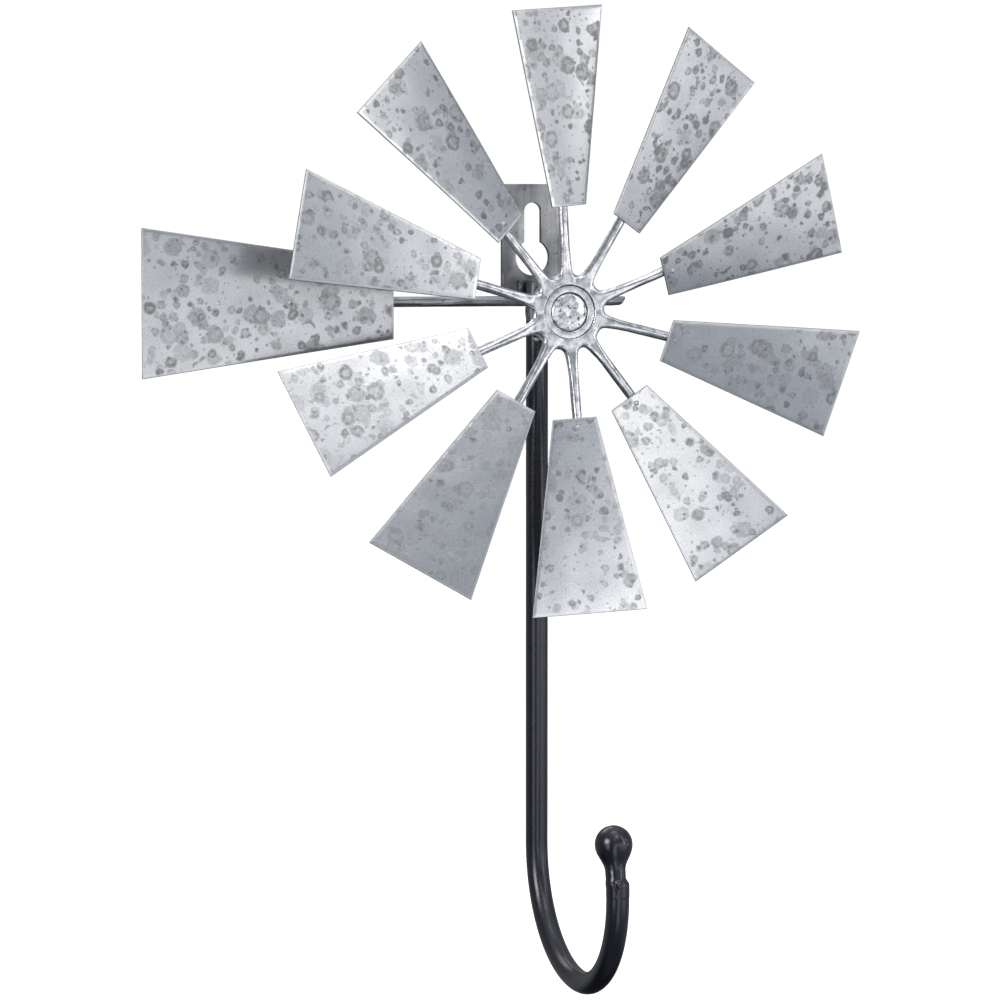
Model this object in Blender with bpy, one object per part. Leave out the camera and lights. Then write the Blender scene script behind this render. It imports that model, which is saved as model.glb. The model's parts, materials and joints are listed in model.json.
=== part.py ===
"""Windmill wall hook: a galvanised ten-blade wheel that spins on a pin in front of a black steel hook.

The wall plane is y = 0 and the object stands out of it towards -Y, with +Z up.
The origin is where the screw's shank sits, at the top of the keyhole in the wall plate.
"""
import math

import bmesh
import bpy
from mathutils import Matrix, Vector

MM = 0.001
GAP = 0.3 * MM                      # clearance kept between any two pieces
BLADES = 10

# Wall plate and its keyhole
PLATE_WIDTH = 19.0 * MM
PLATE_TOP = 8.0 * MM                # above the screw
PLATE_HEIGHT = 33.0 * MM
PLATE_THICKNESS = 1.6 * MM
PLATE_CORNER = 0.8 * MM
SLOT_RADIUS = 2.6 * MM
HOLE_RADIUS = 5.2 * MM
HOLE_DROP = 13.5 * MM               # round hole's centre below the screw

# Bent round bar
ROD_RADIUS = 3.25 * MM
ROD_TOP_DROP = 20.0 * MM
HUB_DROP = 29.0 * MM                # wheel axis below the screw
BACK_BEND_RADIUS = 35.6 * MM        # centreline radii of the hook's two quarter bends
FRONT_BEND_RADIUS = 28.0 * MM
HOOK_DEPTH = 192.1 * MM             # lowest point of the centreline below the wheel axis
TIP_RISE = 3.8 * MM                 # straight stretch after the front bend

# Ball on the hook's end
BALL_RADIUS = 5.3 * MM
BALL_LEAN = 3.1 * MM                # the ball sits this far back towards the wall from the tip's axis
BALL_RISE = 11.7 * MM               # ball centre above the end of the bar
NECK_SECTIONS = ((0.0, 3.1 * MM), (0.2, 2.75 * MM), (0.4, 3.0 * MM))   # share of the way up, radius
BALL_SIDES = 20
BALL_LATITUDES = range(-45, 90, 15)

# Tail
TAIL_ROD_RADIUS = 1.5 * MM
TAIL_ROD_RISE = 2.9 * MM            # above the wheel axis
TAIL_ROD_RIGHT = 25.9 * MM
TAIL_ROD_LEFT = -104.0 * MM
VANE_INNER_X = -46.9 * MM
VANE_OUTER_X = -121.3 * MM
VANE_INNER_HEIGHT = 21.3 * MM
VANE_OUTER_HEIGHT = 42.4 * MM
VANE_SPOTS_X = (-54.0 * MM, -78.0 * MM, -99.0 * MM)

# Weld metal
PLATE_BEAD_LEG = 2.2 * MM
PLATE_BEAD_END = 0.5 * MM           # beads stop short of the plate's lower edge
BOSS_WELD_HALF_WIDTH = 3.2 * MM
BOSS_WELD_BELOW = 1.0 * MM          # reaches this far below the boss
TAIL_BEAD_HALF_WIDTH = 2.6 * MM
TAIL_BEAD_HEIGHT = 1.8 * MM
WELD_ROUNDING = 0.5 * MM

# Axle
AXLE_RADIUS = 3.0 * MM
BOSS_RADIUS = 6.5 * MM
BOSS_LENGTH = 5.0 * MM
BOSS_CHAMFER = 0.6 * MM
WASHER_RADIUS = 6.3 * MM
WASHER_THICKNESS = 1.0 * MM
PIN_HEAD_RADIUS = 5.35 * MM
PIN_HEAD_THICKNESS = 1.4 * MM
PIN_HEAD_DOME = 0.7 * MM
PIN_HEAD_CURVE = ((1.0, 0.0), (0.85, 0.6), (0.5, 0.9), (0.0, 1.0))   # shares of radius and dome

# Wheel
WHEEL_REACH = 26.15 * MM            # bar axis to the front face of the bush
BUSH_FLANGE_RADIUS = 7.7 * MM
BUSH_FLANGE_THICKNESS = 2.6 * MM
BUSH_RECESS_RADIUS = 5.65 * MM
BUSH_RECESS_DEPTH = 2.0 * MM
BUSH_SLEEVE_RADIUS = 4.6 * MM
WEB_PROUD = 0.5 * MM                # cast web's face in front of the bush's face
WEB_THICKNESS = 4.5 * MM
WEB_RADIUS = 11.2 * MM
WEB_FACE_RADIUS = 9.0 * MM
WEB_CHAMFER = 1.5 * MM
BARREL_RADIUS = 7.0 * MM
SPOKE_RADIUS = 1.4 * MM
SPOKE_SIDES = 12
SPOKE_SECTIONS = (                  # distance from the axis, half width, depth behind the centreline
    (8.3 * MM, 2.2 * MM, 3.2 * MM),
    (10.5 * MM, 2.1 * MM, 3.1 * MM),
    (12.5 * MM, 1.75 * MM, 2.4 * MM),
    (15.5 * MM, 1.5 * MM, 1.7 * MM),
    (18.5 * MM, SPOKE_RADIUS, SPOKE_RADIUS),
    (43.0 * MM, SPOKE_RADIUS, SPOKE_RADIUS),
)
SPOKE_SETBACK = 0.7 * MM            # spoke axes behind the bush's face, at the centre
SPOKE_LEAN = 2.3                    # degrees forward, like the ribs of an umbrella
WHEEL_TURN = -4.0                   # degrees clockwise, seen from the front
BLADE_PITCH = 19.5                  # degrees each blade is turned about its spoke
BLADE_INNER = 30.4 * MM
BLADE_OUTER = 86.7 * MM
BLADE_INNER_WIDTH = 12.6 * MM
BLADE_OUTER_WIDTH = 33.2 * MM
BLADE_SIDE_SHIFT = 0.75 * MM        # blades sit a little off their spokes' centre
SHEET = 0.6 * MM
RIM_WIDTH = 0.85 * MM
RIM_DROP = 0.22 * MM
SPOT_RADIUS = 0.9 * MM
SPOT_PLACE = 32.9 * MM              # distance of a blade's spot weld from the axis
SPOT_PROUD = 0.3 * MM
SPOT_CURVE = ((1.0, 0.0), (0.6, 0.8), (0.0, 1.0))   # shares of radius and of how far it stands proud
SPOT_SIDES = 12

# Hand assembly: how far each spoke and each blade is bent off its even place, in degrees
SPOKE_BENT = (-0.5, -1.5, 0, -0.5, 2, 0, 0, 0.5, 2, -1)
BLADE_TWIST = (-1, 4, 1, -3, 0, 0, -1, 0, -2, 2)

# Places that follow from the sizes above
ROD_Y = -(PLATE_THICKNESS + GAP + ROD_RADIUS)
ROD_FRONT = ROD_Y - ROD_RADIUS
TAIL_ROD_Y = ROD_FRONT - GAP - TAIL_ROD_RADIUS
TAIL_ROD_FRONT = TAIL_ROD_Y - TAIL_ROD_RADIUS
BOSS_BACK = TAIL_ROD_FRONT - GAP
BOSS_FRONT = BOSS_BACK - BOSS_LENGTH
WASHER_BACK = BOSS_FRONT - GAP
WASHER_FRONT = WASHER_BACK - WASHER_THICKNESS
HUB_BACK = WASHER_FRONT - GAP
BUSH_FACE = ROD_Y - WHEEL_REACH
WEB_FACE = BUSH_FACE - WEB_PROUD
WEB_BACK = WEB_FACE + WEB_THICKNESS
BORE_RADIUS = AXLE_RADIUS + GAP
AXIS_Z = -HUB_DROP
TAIL_Z = AXIS_Z + TAIL_ROD_RISE
HOOK_BOTTOM_Z = AXIS_Z - HOOK_DEPTH
TIP_Y = ROD_Y - BACK_BEND_RADIUS - FRONT_BEND_RADIUS
TIP_Z = HOOK_BOTTOM_Z + FRONT_BEND_RADIUS + TIP_RISE
BLADE_MID_Y = -(SPOKE_RADIUS + GAP + SHEET / 2)

ROUND = 32                          # sides of the turned pieces
HALF_ROUND_STEPS = 12


def clear_scene():
    for old in list(bpy.data.objects):
        bpy.data.objects.remove(old, do_unlink=True)


def make_material(name, colour, metallic, roughness):
    material = bpy.data.materials.new(name)
    material.use_nodes = True
    shader = material.node_tree.nodes["Principled BSDF"]
    shader.inputs["Base Color"].default_value = (*colour, 1.0)
    shader.inputs["Metallic"].default_value = metallic
    shader.inputs["Roughness"].default_value = roughness
    material.diffuse_color = (*colour, 1.0)
    return material


def add_object(name, bm, material, smooth_angle=30.0):
    """Turn a bmesh into a named object with outward faces and rounded shading."""
    bmesh.ops.remove_doubles(bm, verts=bm.verts, dist=1e-7)
    bmesh.ops.recalc_face_normals(bm, faces=bm.faces)
    mesh = bpy.data.meshes.new(name)
    bm.to_mesh(mesh)
    bm.free()
    mesh.shade_smooth()
    mesh.set_sharp_from_angle(angle=math.radians(smooth_angle))
    obj = bpy.data.objects.new(name, mesh)
    bpy.context.scene.collection.objects.link(obj)
    if material:
        mesh.materials.append(material)
    return obj


def add_cutter(name, bm):
    obj = add_object(name, bm, None)
    obj.hide_render = True
    obj.display_type = "WIRE"
    return obj


def combine(obj, tool, operation):
    modifier = obj.modifiers.new(operation.title() + " " + tool.name, "BOOLEAN")
    modifier.operation = operation
    modifier.object = tool


def turned(profile, sides=ROUND, closed=False):
    """Spin (radius, y) points about the Y axis; a closed profile makes a ring."""
    bm = bmesh.new()
    verts = [bm.verts.new((radius, y, 0.0)) for radius, y in profile]
    edges = [bm.edges.new(pair) for pair in zip(verts, verts[1:])]
    if closed:
        edges.append(bm.edges.new((verts[-1], verts[0])))
    bmesh.ops.spin(bm, geom=verts + edges, cent=(0, 0, 0), axis=(0, 1, 0),
                   angle=math.tau, steps=sides, use_merge=True)
    return bm


def loft(rings):
    """Skin a list of equal rings of points and cap both ends."""
    bm = bmesh.new()
    loops = [[bm.verts.new(point) for point in ring] for ring in rings]
    count = len(loops[0])
    for near, far in zip(loops, loops[1:]):
        for i in range(count):
            j = (i + 1) % count
            bm.faces.new((near[i], near[j], far[j], far[i]))
    bm.faces.new(list(reversed(loops[0])))
    bm.faces.new(loops[-1])
    return bm


def ellipse(centre, half_x, half_y, sides):
    """A ring of points in the plane of constant z."""
    cx, cy, cz = centre
    turns = [math.tau * i / sides for i in range(sides)]
    return [(cx + half_x * math.cos(a), cy + half_y * math.sin(a), cz) for a in turns]


def arc(centre_y, centre_z, radius, start, end, steps):
    """Points in the plane x = 0, with angles in degrees from -Y towards -Z."""
    points = []
    for i in range(steps + 1):
        a = math.radians(start + (end - start) * i / steps)
        points.append((0.0, centre_y - radius * math.cos(a), centre_z - radius * math.sin(a)))
    return points


def bar(name, points, radius, material, resolution):
    """A round bar along a polyline, with flat ends."""
    curve = bpy.data.curves.new(name, "CURVE")
    curve.dimensions = "3D"
    curve.bevel_depth = radius
    curve.bevel_resolution = resolution
    curve.use_fill_caps = True
    spline = curve.splines.new("POLY")
    spline.points.add(len(points) - 1)
    for spline_point, point in zip(spline.points, points):
        spline_point.co = (*point, 1.0)
    spline.use_smooth = True
    curve.materials.append(material)
    obj = bpy.data.objects.new(name, curve)
    bpy.context.scene.collection.objects.link(obj)
    return obj


def sheet_panel(outline):
    """A flat sheet in the XZ plane, centred on y = 0, with a narrow rim pressed back all round."""
    bm = bmesh.new()
    front = bm.faces.new([bm.verts.new((x, -SHEET / 2, z)) for x, z in outline])
    extruded = bmesh.ops.extrude_face_region(bm, geom=[front])
    moved = [item for item in extruded["geom"] if isinstance(item, bmesh.types.BMVert)]
    bmesh.ops.translate(bm, verts=moved, vec=(0, SHEET, 0))
    bmesh.ops.inset_individual(bm, faces=[front], thickness=RIM_WIDTH, depth=0.0)
    rim = [v for v in bm.verts if v.co.y < 0 and v not in set(front.verts)]
    bmesh.ops.translate(bm, verts=rim, vec=(0, RIM_DROP, 0))
    return bm


def trapezoid(z_low, z_high, width_low, width_high, shift):
    return [(shift - width_low / 2, z_low), (shift + width_low / 2, z_low),
            (shift + width_high / 2, z_high), (shift - width_high / 2, z_high)]


def wall_plate(zinc):
    z_low = PLATE_TOP - PLATE_HEIGHT
    bm = bmesh.new()
    bmesh.ops.create_cube(bm, size=1.0)
    bmesh.ops.scale(bm, verts=bm.verts, vec=(PLATE_WIDTH, PLATE_THICKNESS, PLATE_HEIGHT))
    bmesh.ops.translate(bm, verts=bm.verts, vec=(0, -PLATE_THICKNESS / 2, (PLATE_TOP + z_low) / 2))
    upright = [e for e in bm.edges if abs(e.verts[0].co.y - e.verts[1].co.y) > PLATE_THICKNESS / 2]
    bmesh.ops.bevel(bm, geom=upright, offset=PLATE_CORNER, segments=3, profile=0.5, affect="EDGES")
    plate = add_object("wall_plate", bm, zinc)

    slot_outline = [(-SLOT_RADIUS, -HOLE_DROP)]
    for i in range(HALF_ROUND_STEPS + 1):
        a = math.pi - math.pi * i / HALF_ROUND_STEPS
        slot_outline.append((SLOT_RADIUS * math.cos(a), SLOT_RADIUS * math.sin(a)))
    slot_outline.append((SLOT_RADIUS, -HOLE_DROP))
    cut_y = 2 * PLATE_THICKNESS
    slot = loft([[(x, y, z) for x, z in slot_outline] for y in (-cut_y, cut_y)])
    combine(plate, add_cutter("keyhole_slot_cutter", slot), "DIFFERENCE")
    hole = turned([(0, -cut_y), (HOLE_RADIUS, -cut_y), (HOLE_RADIUS, cut_y), (0, cut_y)])
    bmesh.ops.translate(hole, verts=hole.verts, vec=(0, 0, -HOLE_DROP))
    combine(plate, add_cutter("keyhole_hole_cutter", hole), "DIFFERENCE")


def hook_rod(paint):
    back_z = HOOK_BOTTOM_Z + BACK_BEND_RADIUS
    front_z = HOOK_BOTTOM_Z + FRONT_BEND_RADIUS
    bottom_y = ROD_Y - BACK_BEND_RADIUS
    points = [(0, ROD_Y, -ROD_TOP_DROP)]
    points += arc(bottom_y, back_z, BACK_BEND_RADIUS, 180, 90, HALF_ROUND_STEPS)
    points += arc(bottom_y, front_z, FRONT_BEND_RADIUS, 90, 0, HALF_ROUND_STEPS)[1:]
    points.append((0, TIP_Y, TIP_Z))
    bar("hook_rod", points, ROD_RADIUS, paint, 6)


def hook_ball_end(paint):
    """A ball on a tapered neck that leans back towards the wall."""
    base_z = TIP_Z + GAP
    centre = Vector((0, TIP_Y + BALL_LEAN, TIP_Z + BALL_RISE))
    rings = []
    for share, radius in NECK_SECTIONS:
        z = base_z + share * (centre.z - base_z)
        y = TIP_Y + share * BALL_LEAN
        rings.append(ellipse((0, y, z), radius, radius, BALL_SIDES))
    for latitude in BALL_LATITUDES:
        a = math.radians(latitude)
        ring_radius = BALL_RADIUS * math.cos(a)
        ring_centre = (0, centre.y, centre.z + BALL_RADIUS * math.sin(a))
        rings.append(ellipse(ring_centre, ring_radius, ring_radius, BALL_SIDES))
    add_object("hook_ball_end", loft(rings), paint, smooth_angle=50.0)


def tail(zinc):
    """The horizontal bar across the post and the flat vane on its left end."""
    bar("tail_rod", [(TAIL_ROD_LEFT, TAIL_ROD_Y, TAIL_Z), (TAIL_ROD_RIGHT, TAIL_ROD_Y, TAIL_Z)],
        TAIL_ROD_RADIUS, zinc, 4)
    outline = [(VANE_OUTER_X, -VANE_OUTER_HEIGHT / 2), (VANE_INNER_X, -VANE_INNER_HEIGHT / 2),
               (VANE_INNER_X, VANE_INNER_HEIGHT / 2), (VANE_OUTER_X, VANE_OUTER_HEIGHT / 2)]
    vane = add_object("tail_vane", sheet_panel(outline), zinc, smooth_angle=5.0)
    vane_y = TAIL_ROD_FRONT - GAP - SHEET / 2
    vane.location = (0, vane_y, TAIL_Z)
    for number, x in enumerate(VANE_SPOTS_X, start=1):
        spot_weld(f"tail_spot_weld_{number}", vane, Vector((x, 0, 0)), zinc)


def spot_weld(name, panel, place, zinc):
    """A weld nugget in a hole through a panel, a little proud of its front."""
    reach = SHEET / 2
    hole = turned([(0, -2 * reach), (SPOT_RADIUS + GAP, -2 * reach),
                   (SPOT_RADIUS + GAP, 2 * reach), (0, 2 * reach)], sides=SPOT_SIDES)
    cutter = add_cutter(name + "_cutter", hole)
    profile = [(0, reach), (SPOT_RADIUS, reach)]
    profile += [(SPOT_RADIUS * width, -reach - SPOT_PROUD * rise) for width, rise in SPOT_CURVE]
    nugget = turned(profile, sides=SPOT_SIDES)
    obj = add_object(name, nugget, zinc)
    for piece in (cutter, obj):
        piece.parent = panel
        piece.location = place
    combine(panel, cutter, "DIFFERENCE")


def welds(zinc):
    """Weld metal that joins the plate, the boss and the tail rod to the post."""
    side_x = ROD_RADIUS + GAP
    plate_front = -PLATE_THICKNESS - GAP
    z_low = PLATE_TOP - PLATE_HEIGHT + PLATE_BEAD_END
    z_high = -ROD_TOP_DROP
    for name, side in (("plate_weld_left", -1), ("plate_weld_right", 1)):
        corner = [(side * side_x, plate_front), (side * (side_x + PLATE_BEAD_LEG), plate_front),
                  (side * side_x, plate_front - PLATE_BEAD_LEG)]
        bead = loft([[(x, y, z) for x, y in corner] for z in (z_low, z_high)])
        bmesh.ops.bevel(bead, geom=bead.edges[:], offset=0.6 * WELD_ROUNDING, segments=2, profile=0.5,
                        affect="EDGES")
        add_object(name, bead, zinc)

    # The boss stands in front of the tail rod, so weld metal fills the space below the tail rod.
    back_y = ROD_FRONT - GAP
    front_y = BOSS_BACK + GAP
    top_z = TAIL_Z - TAIL_ROD_RADIUS - GAP
    bottom_z = AXIS_Z - BOSS_RADIUS - BOSS_WELD_BELOW
    add_weld_block("boss_weld", BOSS_WELD_HALF_WIDTH, (front_y, back_y), (bottom_z, top_z), zinc)
    bead_low = TAIL_Z + TAIL_ROD_RADIUS + GAP
    add_weld_block("tail_rod_weld", TAIL_BEAD_HALF_WIDTH, (front_y, back_y),
                   (bead_low, bead_low + TAIL_BEAD_HEIGHT), zinc)


def add_weld_block(name, half_width, y_range, z_range, zinc):
    bm = bmesh.new()
    bmesh.ops.create_cube(bm, size=1.0)
    size = (2 * half_width, y_range[1] - y_range[0], z_range[1] - z_range[0])
    bmesh.ops.scale(bm, verts=bm.verts, vec=size)
    bmesh.ops.translate(bm, verts=bm.verts, vec=(0, sum(y_range) / 2, sum(z_range) / 2))
    bmesh.ops.bevel(bm, geom=bm.edges[:], offset=WELD_ROUNDING, segments=2, profile=0.5, affect="EDGES")
    add_object(name, bm, zinc)


def axle(zinc):
    """Boss, washer and headed pin, turned about the wheel's axis."""
    boss = [(BORE_RADIUS, BOSS_BACK), (BOSS_RADIUS, BOSS_BACK), (BOSS_RADIUS, BOSS_FRONT + BOSS_CHAMFER),
            (BOSS_RADIUS - BOSS_CHAMFER, BOSS_FRONT), (BORE_RADIUS, BOSS_FRONT)]
    washer = [(BORE_RADIUS, WASHER_BACK), (WASHER_RADIUS, WASHER_BACK),
              (WASHER_RADIUS, WASHER_FRONT), (BORE_RADIUS, WASHER_FRONT)]
    head_back = BUSH_FACE + BUSH_RECESS_DEPTH - GAP
    head_edge = head_back - PIN_HEAD_THICKNESS
    pin = [(0, BOSS_BACK), (AXLE_RADIUS, BOSS_BACK), (AXLE_RADIUS, head_back), (PIN_HEAD_RADIUS, head_back)]
    pin += [(PIN_HEAD_RADIUS * width, head_edge - PIN_HEAD_DOME * rise) for width, rise in PIN_HEAD_CURVE]
    for name, profile, closed in (("axle_boss", boss, True), ("thrust_washer", washer, True),
                                  ("axle_pin", pin, False)):
        piece = add_object(name, turned(profile, closed=closed), zinc)
        piece.location = (0, 0, AXIS_Z)


def hub(wheel, zinc):
    """The cast spider with its spokes, and the flanged bush pressed into it."""
    plane = BUSH_FACE + SPOKE_SETBACK
    flange_back = BUSH_FACE + BUSH_FLANGE_THICKNESS
    hub_bore = BUSH_SLEEVE_RADIUS + GAP
    seat_radius = BUSH_FLANGE_RADIUS + GAP
    profile = [(seat_radius, WEB_FACE), (WEB_FACE_RADIUS, WEB_FACE),
               (WEB_RADIUS, WEB_FACE + WEB_CHAMFER), (WEB_RADIUS, WEB_BACK),
               (BARREL_RADIUS, WEB_BACK), (BARREL_RADIUS, HUB_BACK),
               (hub_bore, HUB_BACK), (hub_bore, flange_back + GAP), (seat_radius, flange_back + GAP)]
    profile = [(radius, y - plane) for radius, y in profile]
    spider = add_object("hub_spider", turned(profile, closed=True), zinc)
    spider.parent = wheel
    for number in range(BLADES):
        tool = spoke_tool(number)
        tool.parent = wheel
        tool.matrix_local = spoke_frame(number)
        combine(spider, tool, "UNION")

    recess_floor = BUSH_FACE + BUSH_RECESS_DEPTH
    bush = [(BUSH_FLANGE_RADIUS, BUSH_FACE), (BUSH_FLANGE_RADIUS, flange_back),
            (BUSH_SLEEVE_RADIUS, flange_back), (BUSH_SLEEVE_RADIUS, HUB_BACK), (BORE_RADIUS, HUB_BACK),
            (BORE_RADIUS, recess_floor), (BUSH_RECESS_RADIUS, recess_floor), (BUSH_RECESS_RADIUS, BUSH_FACE)]
    bush = [(radius, y - plane) for radius, y in bush]
    add_object("hub_bush", turned(bush, closed=True), zinc).parent = wheel


def spoke_tool(number):
    """A cast spoke along its own +Z, deep and wide at the root and round further out."""
    rings = []
    for distance, half_width, back in SPOKE_SECTIONS:
        centre = (0, (back - SPOKE_RADIUS) / 2, distance)
        rings.append(ellipse(centre, half_width, (back + SPOKE_RADIUS) / 2, SPOKE_SIDES))
    return add_cutter(f"spoke_{number + 1:02d}_tool", loft(rings))


def spoke_frame(number):
    """A spoke's own frame in the wheel: +Z outward along it, +X clockwise, +Y towards the wall."""
    angle = math.radians(360.0 / BLADES * number + SPOKE_BENT[number])
    return Matrix.Rotation(angle, 4, "Y") @ Matrix.Rotation(math.radians(SPOKE_LEAN), 4, "X")


def blades(wheel, zinc):
    outline = trapezoid(BLADE_INNER, BLADE_OUTER, BLADE_INNER_WIDTH, BLADE_OUTER_WIDTH,
                        BLADE_SIDE_SHIFT)
    for number in range(BLADES):
        name = f"blade_{number + 1:02d}"
        blade = add_object(name, sheet_panel(outline), zinc, smooth_angle=5.0)
        pitch = math.radians(BLADE_PITCH + BLADE_TWIST[number])
        blade.parent = wheel
        blade.matrix_local = (spoke_frame(number) @ Matrix.Rotation(pitch, 4, "Z")
                              @ Matrix.Translation((0, BLADE_MID_Y, 0)))
        spot_weld(f"blade_spot_weld_{number + 1:02d}", blade, Vector((0, 0, SPOT_PLACE)), zinc)


def main():
    clear_scene()
    zinc = make_material("galvanised", (0.62, 0.64, 0.67), 0.9, 0.38)
    cast_zinc = make_material("cast_zinc", (0.72, 0.73, 0.75), 0.9, 0.3)
    paint = make_material("black_paint", (0.02, 0.02, 0.025), 0.0, 0.35)

    wall_plate(zinc)
    hook_rod(paint)
    hook_ball_end(paint)
    tail(zinc)
    welds(zinc)
    axle(cast_zinc)

    wheel = bpy.data.objects.new("wheel_axis", None)
    bpy.context.scene.collection.objects.link(wheel)
    wheel.location = (0, BUSH_FACE + SPOKE_SETBACK, AXIS_Z)
    wheel.rotation_euler = (0, math.radians(WHEEL_TURN), 0)
    hub(wheel, cast_zinc)
    blades(wheel, zinc)


main()
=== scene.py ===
import json
import math

import bmesh
import bpy
import numpy as np
from mathutils import Matrix, Vector, noise


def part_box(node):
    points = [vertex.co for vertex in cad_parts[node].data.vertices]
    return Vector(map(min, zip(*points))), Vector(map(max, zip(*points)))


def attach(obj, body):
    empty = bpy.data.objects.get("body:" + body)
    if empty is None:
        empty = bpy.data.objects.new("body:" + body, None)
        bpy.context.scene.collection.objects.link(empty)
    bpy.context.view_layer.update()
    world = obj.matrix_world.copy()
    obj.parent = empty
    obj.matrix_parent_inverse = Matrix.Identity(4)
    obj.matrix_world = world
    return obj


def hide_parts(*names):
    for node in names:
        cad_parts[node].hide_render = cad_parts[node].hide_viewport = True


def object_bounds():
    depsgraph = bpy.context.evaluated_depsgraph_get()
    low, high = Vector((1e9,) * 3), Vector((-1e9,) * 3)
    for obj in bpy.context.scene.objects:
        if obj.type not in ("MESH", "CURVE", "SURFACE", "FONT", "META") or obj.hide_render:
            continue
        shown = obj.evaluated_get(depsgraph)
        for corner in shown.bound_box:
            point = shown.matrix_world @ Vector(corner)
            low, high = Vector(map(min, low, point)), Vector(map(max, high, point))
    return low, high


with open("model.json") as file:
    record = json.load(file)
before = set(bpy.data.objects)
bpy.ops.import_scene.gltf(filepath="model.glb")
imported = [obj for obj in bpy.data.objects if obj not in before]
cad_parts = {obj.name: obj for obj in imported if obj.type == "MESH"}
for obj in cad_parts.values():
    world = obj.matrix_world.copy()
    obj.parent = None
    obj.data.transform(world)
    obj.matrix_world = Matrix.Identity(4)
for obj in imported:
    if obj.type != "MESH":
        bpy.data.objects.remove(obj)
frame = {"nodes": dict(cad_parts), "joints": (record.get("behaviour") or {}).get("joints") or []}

CAD_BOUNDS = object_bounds()
MM = 0.001
FRAME_BODY = "hook_frame"
WHEEL_BODY = "wheel"
AXIS_POINT = Vector(frame["joints"][0]["pos_m"])  # where the spokes' centrelines meet
FRONT = Vector((0, -1, 0))
BLADES = 10

# Sheet panels, in mm
RIM_WIDTH = 0.9
RIM_DROP = 0.05
EDGE_ROUND = 0.16
EDGE_DROP = 0.13
RIM_STEPS = [0.0, EDGE_ROUND / 2, EDGE_ROUND, 0.3, 0.55, RIM_WIDTH, 1.15]
PAST_RIM = 1.6
PANEL_COLUMNS = 34
PANEL_ROWS = 56
WAVE_HEIGHT = 0.05
WAVE_LENGTH = 9
WAVE_SHIFT = 7.7  # from one sheet to the next, so that no two have the same waves or stains
STAIN_SHIFT = (61.0, 17.0)
BACK_STAIN_SHIFT = 211.0

# How each blade is bent out of flat: degrees its face turns from the middle to the edge
BLADE_CUP = (1.9, -1.4, 1.6, 0.2, 0.5, 0.2, 0.3, -0.1, 0.0, 0.3)  # across
BLADE_BOW = (-0.2, 0.2, 1.0, -0.3, 0.3, 1.1, -1.0, 0.5, 0.2, 1.0)  # along
VANE_OUTWARD = Vector((-1, 0, 0))
VANE_CUP = 0.2
VANE_BOW = -1.0

# How bright each blade is, partly its metal's own tone and partly painted light set to how bright it
# shows under the lamps, and how strong its stains are
BLADE_TONE_AND_LIGHT = (0.9, 0.93, 0.93, 1.04, 0.98, 1.03, 0.92, 0.97, 0.96, 0.92)
BLADE_STAIN = (1.6, 1.7, 1.7, 1.0, 1.1, 1.05, 0.8, 1.1, 1.25, 1.6)
VANE_TONE_AND_LIGHT = 0.83
VANE_STAIN = 1.2

BARE_BELOW_AXIS = 7.0  # the post's zinc shows down to here, in mm


# ---- camera, stage and light

CAMERA_LENS = 136.98
CAMERA_PLACE = (-0.3984, -1.0470, -0.0070)
CAMERA_DOWN = 3.98  # how far it looks down and is turned, in degrees
CAMERA_TURN = -20.37

LIGHT_DISTANCE = 0.7
LIGHT_CENTRE = Vector((0, -0.02, -0.029))
LIGHT_COLOUR = (1.0, 0.98, 0.955)

# Name, azimuth, elevation, half width and half height in degrees as seen from the object, and radiance
SOFTBOXES = (
    ("top_light", 7, 45, 8.5, 11, 2.2),
    ("low_left_strip", -12, -27, 7.5, 16, 1.05),
    ("right_light", 66, 7.5, 6, 4.2, 2.1),
    ("low_right_sheet", 40, -19, 18, 11, 0.68),
    ("right_strip", 43, 20, 5.8, 20, 1.9),
    ("left_window", -13, 25, 7.5, 4.8, 1.75),
    ("low_front_sheet", 6, -8, 20, 9, 0.8),
    ("far_right_window", 72, -12, 5.5, 5, 1.35),
    ("overhead", 0, 80, 16, 12, 1.5),
    ("left_spot", -62, 10, 12, 12, 7.5),
    ("left_strip", -54, -16, 8, 12, 1.4),
    ("right_strip_low", 43, -4, 8.0, 5, 2.6),
    ("back_light", 190, 38, 22, 14, 1.6),
)

WHITE = (1, 1, 1, 1)
SEEN_STRENGTH = 1.05
FLOOR_SIZE = 6.0
FLOOR_DROP = 0.08


def add_object(name, data):
    made = bpy.data.objects.new(name, data)
    bpy.context.scene.collection.objects.link(made)
    return made


def new_mesh(name, points, faces):
    mesh = bpy.data.meshes.new(name)
    mesh.from_pydata(points, [], faces)
    return mesh


def add_camera():
    data = bpy.data.cameras.new("camera")
    data.lens = CAMERA_LENS
    camera = add_object("camera", data)
    camera.location = CAMERA_PLACE
    camera.rotation_euler = (math.radians(90 - CAMERA_DOWN), 0, math.radians(CAMERA_TURN))
    bpy.context.scene.camera = camera


def add_softbox(name, azimuth, elevation, half_width, half_height, radiance):
    """A rectangular light facing the object."""
    a, e = math.radians(azimuth), math.radians(elevation)
    direction = Vector((math.sin(a) * math.cos(e), -math.cos(a) * math.cos(e), math.sin(e)))
    data = bpy.data.lights.new(name, "AREA")
    data.shape = "RECTANGLE"
    data.size = 2 * LIGHT_DISTANCE * math.tan(math.radians(half_width))
    data.size_y = 2 * LIGHT_DISTANCE * math.tan(math.radians(half_height))
    data.color = LIGHT_COLOUR
    data.energy = radiance * math.pi * data.size * data.size_y
    light = add_object(name, data)
    light.location = LIGHT_CENTRE + LIGHT_DISTANCE * direction
    light.rotation_euler = direction.to_track_quat("Z", "Y").to_euler()


def add_lights():
    for softbox in SOFTBOXES:
        add_softbox(*softbox)


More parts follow.
